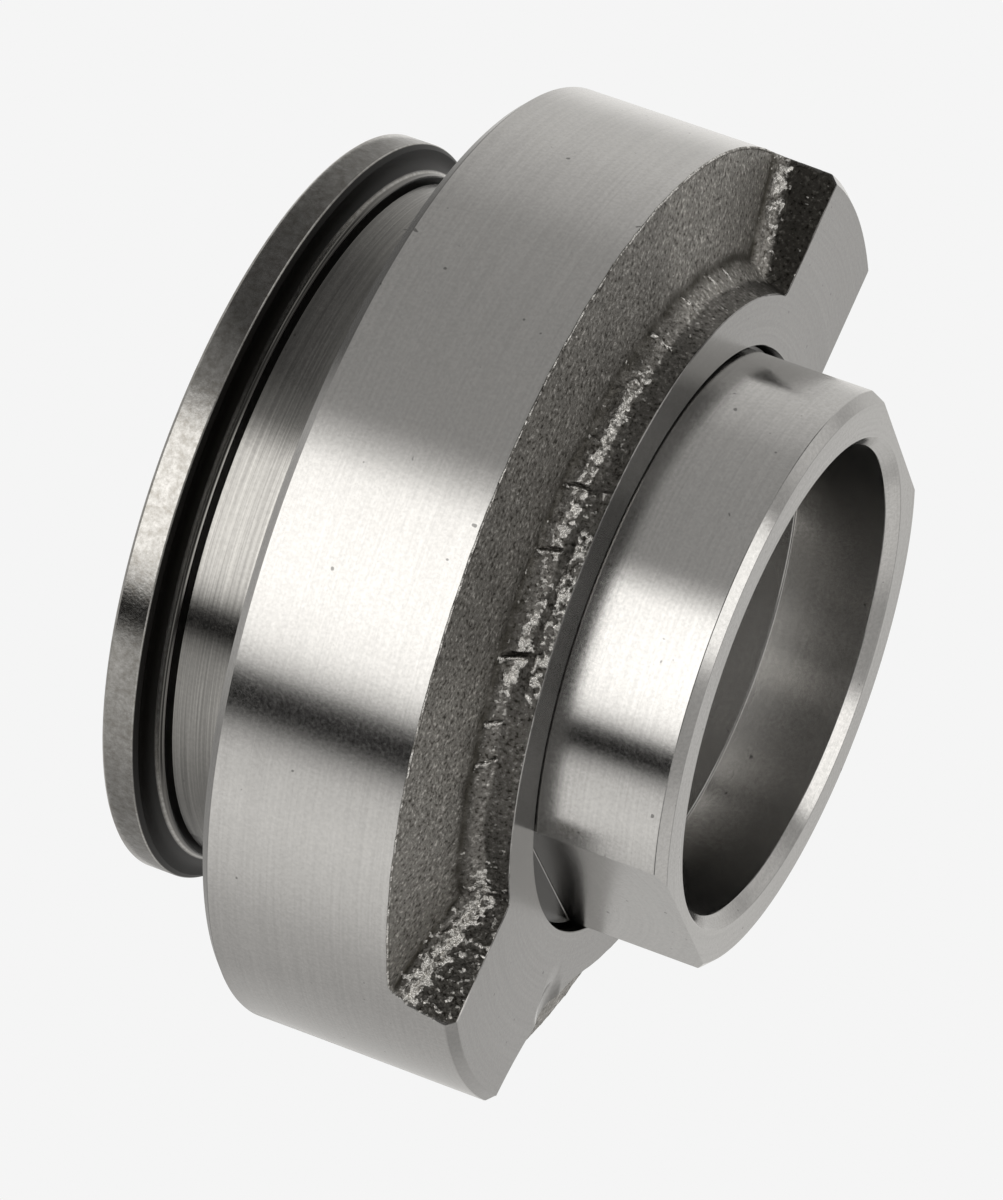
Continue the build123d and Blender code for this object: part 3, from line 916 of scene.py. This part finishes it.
def turned_shader(tree, tone, roughness, lines=9000.0, line_depth=0.08, speckle_depth=0.08):
    """A metal whose bump is turning lines and an even speckle, with highlights spread along the axis."""
    dots = even_noise(tree, 3000.0)
    relief = bump(tree, turned_noise(tree, 60.0, lines), line_depth, 0.00002)
    return out(tree, "ShaderNodeBsdfPrincipled", 0, Base_Color=tone, Metallic=1.0,
               Roughness=remap(tree, dots, 0.3, 0.7, roughness * 0.8, roughness * 1.25),
               Anisotropic=0.8, Anisotropic_Rotation=0.25,
               Normal=bump(tree, dots, speckle_depth, 0.00003, relief),
               Tangent=out(tree, "ShaderNodeTangent", 0, direction_type="RADIAL", axis="Z"))


# %% [markdown]
# ## The sleeve's finish
# The sleeve has one turned finish all over. Only the ledge where the flats end is painted dark as shade.


# %% the sleeve's material
def dress(piece, material):
    """Gives a piece one material in place of what it had."""
    piece.data.materials.clear()
    piece.data.materials.append(material)
    print(piece.name, "wears", material.name)


sleeve_tone, ledge_shade_tone = (0.63, 0.622, 0.608), (0.03, 0.029, 0.027)
ledge = (0.04223, 0.04224), (0.04232, 0.04230)  # heights in metres at which the flats' foot is painted dark as shade
sleeve_steel, tree = new_material("turned_sleeve_steel")
height = node(tree, "ShaderNodeSeparateXYZ", out(tree, "ShaderNodeTexCoord", "Object")).outputs["Z"]
# painted shade: a near-black line on the ledge at the flats' foot
tone = mixed(tree, steps(tree, height, *ledge), turned_tone(tree, sleeve_tone), ledge_shade_tone)
surface(tree, turned_shader(tree, tone, 0.18))
dress(sleeve, sleeve_steel)

# %% [markdown]
# ## Forged skin beside turned steel
# The carrier needs both finishes on one mesh, so its mark of the forged skin mixes two shaders. The
# forged one is a dull grey metal whose fine grain is a strong bump, with dark scale left in the pits.
# Where the skin is coarse, the tops of its lumps are rubbed clean of scale, and their light tone also
# paints glints. Painted shade darkens the scale in the valley, the cracks and on the upper wall. Two pieces
# with a finish each would show a seam where they meet.


# %% the carrier's scale
def marked(tree, name):
    """The number that the mesh carries at each point under that name."""
    return out(tree, "ShaderNodeAttribute", "Fac", attribute_type="GEOMETRY", attribute_name=name)


# tones of dirt with painted shade, of painted shade, and of clean metal with painted glints
dirt_and_shade_tone, painted_shade_tone, bare_and_glint_tone = (0.078, 0.072, 0.060), (0.13, 0.127, 0.12), (0.92, 0.90, 0.86)
scale_tones = [(0.34, (0.10, 0.092, 0.080)), (0.44, (0.37, 0.354, 0.328)), (0.58, (0.46, 0.444, 0.415)),
               (0.66, (0.86, 0.83, 0.79))]
lump_rise, bare_glint_from, bare_glint_full, bare_glint_roughness = 0.28, 0.69, 0.78, 0.27
carrier_steel, tree = new_material("carrier_steel")
pits, fine = even_noise(tree, 2200.0), even_noise(tree, 4500.0, 2.0)
lumps = even_noise(tree, 1500.0, 2.0, 0.5)
patches = ramp(tree, even_noise(tree, 350.0), [(0.3, 0.82), (0.7, 1.0)])
scale = mixed(tree, 1.0, ramp(tree, pits, scale_tones), patches, "MULTIPLY")
# dirt and painted shade in the valley and the cracks
scale = mixed(tree, marked(tree, "valley"), scale, dirt_and_shade_tone)
# painted shade multiplied into the scale where the mesh is marked shaded
scale = mixed(tree, marked(tree, "shaded"), scale, painted_shade_tone, "MULTIPLY")
coarse_mark = marked(tree, "coarse")
# tops of coarse lumps: steel rubbed clean of scale, whose light tone also paints glints
raised = calculate(tree, "MULTIPLY_ADD", coarse_mark, lump_rise, lumps)
bare_and_glint = remap(tree, raised, bare_glint_from, bare_glint_full, 0.0, 1.0)
scale = mixed(tree, bare_and_glint, scale, bare_and_glint_tone)
roughness = ramp(tree, fine, [(0.35, 0.52), (0.70, 0.34)])
roughness = out(tree, "ShaderNodeMix", 0, bare_and_glint, A=roughness, B=bare_glint_roughness, data_type="FLOAT")
relief = bump(tree, calculate(tree, "MULTIPLY", coarse_mark, lumps), 1.0, 0.0008)
relief = bump(tree, fine, 0.9, 0.0001, bump(tree, pits, 0.8, 0.0002, relief))
oxide = out(tree, "ShaderNodeBsdfPrincipled", 0, Base_Color=scale, Metallic=1.0, Roughness=roughness,
            Normal=relief)

# %% the carrier's material
steel, face_tone = (0.60, 0.592, 0.578), (0.69, 0.69, 0.69)
tone = mixed(tree, marked(tree, "faced"), turned_tone(tree, steel), face_tone, "MULTIPLY")
bright = turned_shader(tree, tone, 0.18)
both = out(tree, "ShaderNodeMixShader", 0, marked(tree, "forged"), bright, oxide)
surface(tree, both)
dress(carrier, carrier_steel)

# %% [markdown]
# ## The thrust ring's finish
# The ring is hardened, which leaves it darker and mottled. Its cove and the groove beside the neck are
# painted near black as shade, and the bead at its foot shines. Marks on the mesh say which rows are
# which.

# %% the ring's material
mottle_tones = [(0.36, (0.33, 0.315, 0.29)), (0.50, (0.44, 0.43, 0.41)), (0.64, (0.56, 0.55, 0.53))]
cove_shade_tone, bead_tone = (0.006, 0.005, 0.0035), (0.17, 0.165, 0.155)
ring_steel, tree = new_material("hardened_steel")
mottle = ramp(tree, even_noise(tree, 1200.0, 5.0, 0.8), mottle_tones)
hardened = turned_shader(tree, mottle, 0.17, speckle_depth=0.3)
# painted shade: the cove and the groove are a dull near-black
cove_shade = out(tree, "ShaderNodeBsdfPrincipled", 0, Base_Color=cove_shade_tone, Metallic=0.0, Roughness=0.45,
           Specular_IOR_Level=0.30)
bead_skin = out(tree, "ShaderNodeBsdfPrincipled", 0, Base_Color=bead_tone, Metallic=1.0, Roughness=0.15)
cove_shaded = out(tree, "ShaderNodeMixShader", 0, marked(tree, "cove"), hardened, cove_shade)
beaded = out(tree, "ShaderNodeMixShader", 0, marked(tree, "bead"), cove_shaded, bead_skin)
surface(tree, beaded)
dress(ring, ring_steel)

# %% [markdown]
# ## The neck and the hidden pieces
# The neck is the inner ring's outside, turned with a coarser feed, so its lines show more. The pieces
# inside are seen only when the bearing is taken apart: bright balls in a black nylon crown, blued
# springs, a pressed seal case and its rubber.

# %% two kinds of material
def turned_steel(name, colour, roughness, spread, streak_lines, lines, line_depth):
    """A material of turned steel all over."""
    made, tree = new_material(name)
    tone = turned_tone(tree, colour, spread, streak_lines)
    surface(tree, turned_shader(tree, tone, roughness, lines, line_depth))
    return made


def cloudy(name, darker, lighter, metallic, roughness, scale, depth):
    """A material whose colour and roughness drift between two values with an even noise, also its
    bump."""
    made, tree = new_material(name)
    drift = even_noise(tree, scale, 4.0)
    surface(tree, out(tree, "ShaderNodeBsdfPrincipled", 0, Metallic=metallic,
                      Base_Color=ramp(tree, drift, [(0.35, darker), (0.65, lighter)]),
                      Roughness=remap(tree, drift, 0.3, 0.7, *roughness),
                      Normal=bump(tree, drift, depth, 0.00005)))
    return made


# %% dress the neck and the hidden pieces
neck_steel = turned_steel("neck_steel", (0.40, 0.392, 0.375), 0.18, 0.22, 5500.0, 5000.0, 0.3)
race_steel = turned_steel("ground_race_steel", (0.58, 0.575, 0.56), 0.14, 0.045, 3200.0, 12000.0, 0.05)
dress(nodes["inner_ring"], neck_steel)
dress(nodes["outer_ring"], race_steel)
balls = [name for name in nodes if name.startswith("ball_") and name != "ball_cage"]
finishes = (  # pieces, name, darker and lighter tone, metallic, roughness, the noise's scale, and its bump
    (("snap_ring", "wave_spring"), "blued_spring_steel", (0.13, 0.135, 0.15), (0.22, 0.225, 0.24), 1.0,
     (0.30, 0.42), 900.0, 0.2),
    (("seal_case", "spring_plate"), "pressed_sheet_steel", (0.48, 0.47, 0.45), (0.60, 0.59, 0.57), 1.0,
     (0.24, 0.36), 700.0, 0.2),
    (("ball_cage",), "glass_filled_nylon", (0.035, 0.034, 0.031), (0.060, 0.059, 0.055), 0.0,
     (0.42, 0.58), 1600.0, 0.3),
    (("seal_lip",), "seal_rubber", (0.010, 0.010, 0.010), (0.020, 0.020, 0.019), 0.0, (0.48, 0.62),
     1500.0, 0.3),
    (balls, "polished_ball_steel", (0.60, 0.595, 0.59), (0.64, 0.635, 0.63), 1.0, (0.05, 0.08), 2500.0,
     0.02))
for pieces, *finish in finishes:
    material = cloudy(*finish)
    for name in pieces:
        dress(nodes[name], material)
